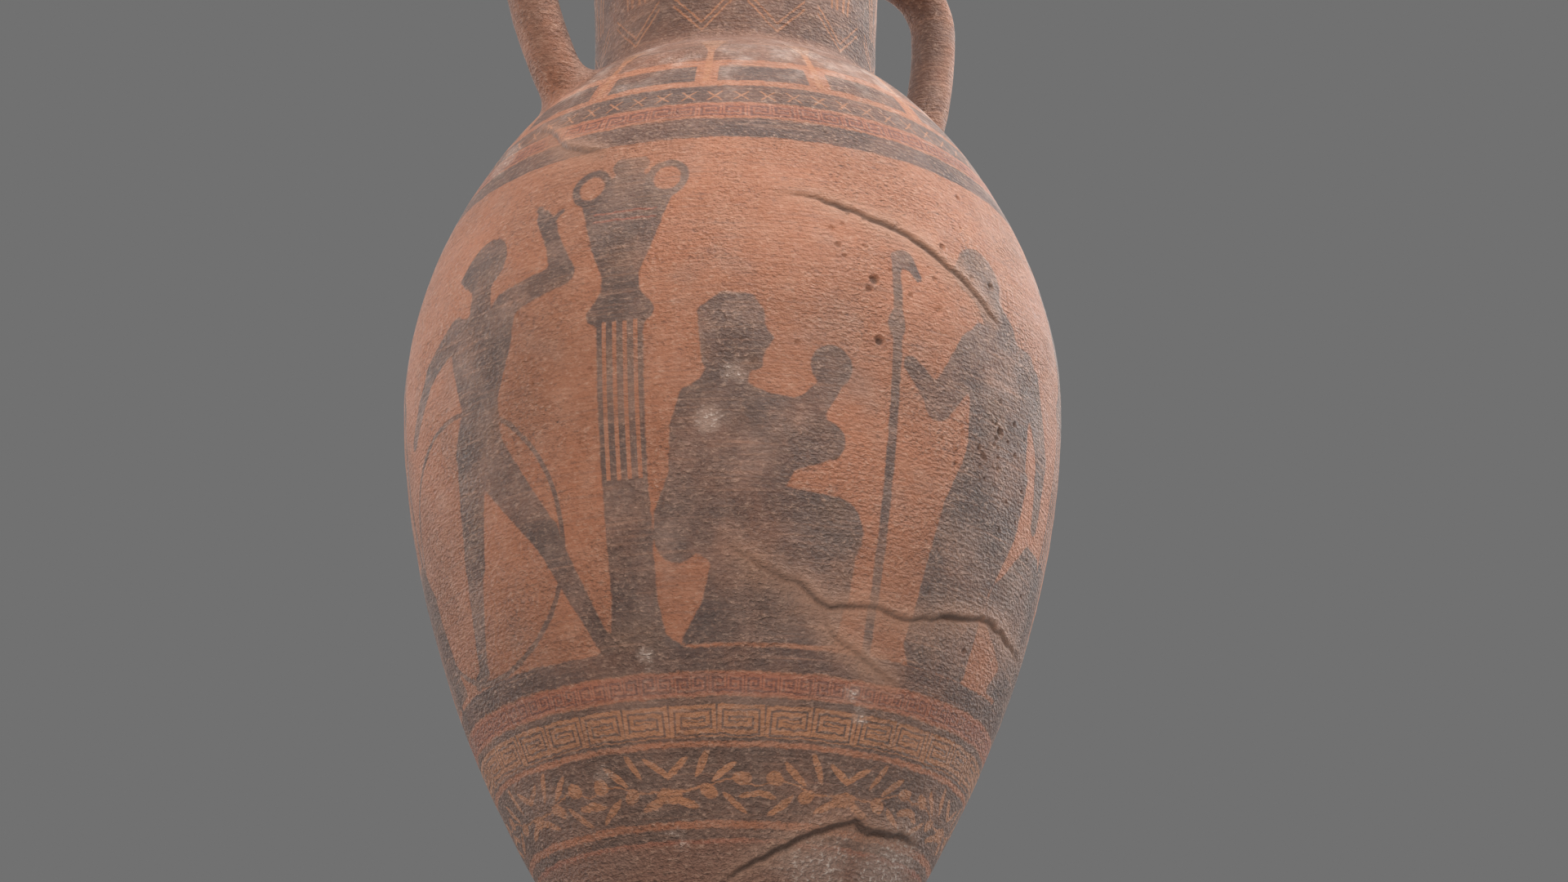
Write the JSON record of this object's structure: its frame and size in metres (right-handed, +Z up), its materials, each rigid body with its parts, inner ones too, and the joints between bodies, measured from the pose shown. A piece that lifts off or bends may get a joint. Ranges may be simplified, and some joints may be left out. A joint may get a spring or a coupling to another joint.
{
  "type": "amphora",
  "caption": "Tall egg-shaped pottery storage jar on a small foot, with a flaring neck, heavy round mouth and upright loop handles from shoulder to neck.",
  "frame": {"origin": "centre of the foot's resting ring, on the ground", "axes": "+Z up along the jar's axis, X through both handles, -Y towards the painted front between the handles"},
  "size_m": [0.3, 0.3, 0.635],
  "materials": {
    "painted_clay": "matte",
    "dark_slip": "matte",
    "bare_clay": "matte"
  },
  "bodies": {
    "root": {"foot": "dark_slip", "foot_collar": "bare_clay", "lower_body": "painted_clay", "upper_body": "painted_clay", "neck": "painted_clay", "neck_collar": "painted_clay", "mouth_ring": "dark_slip", "left_handle": "bare_clay", "right_handle": "bare_clay", "left_shoulder_root": "bare_clay", "right_shoulder_root": "bare_clay", "left_neck_root": "bare_clay", "right_neck_root": "bare_clay"}
  },
  "joints": []
}
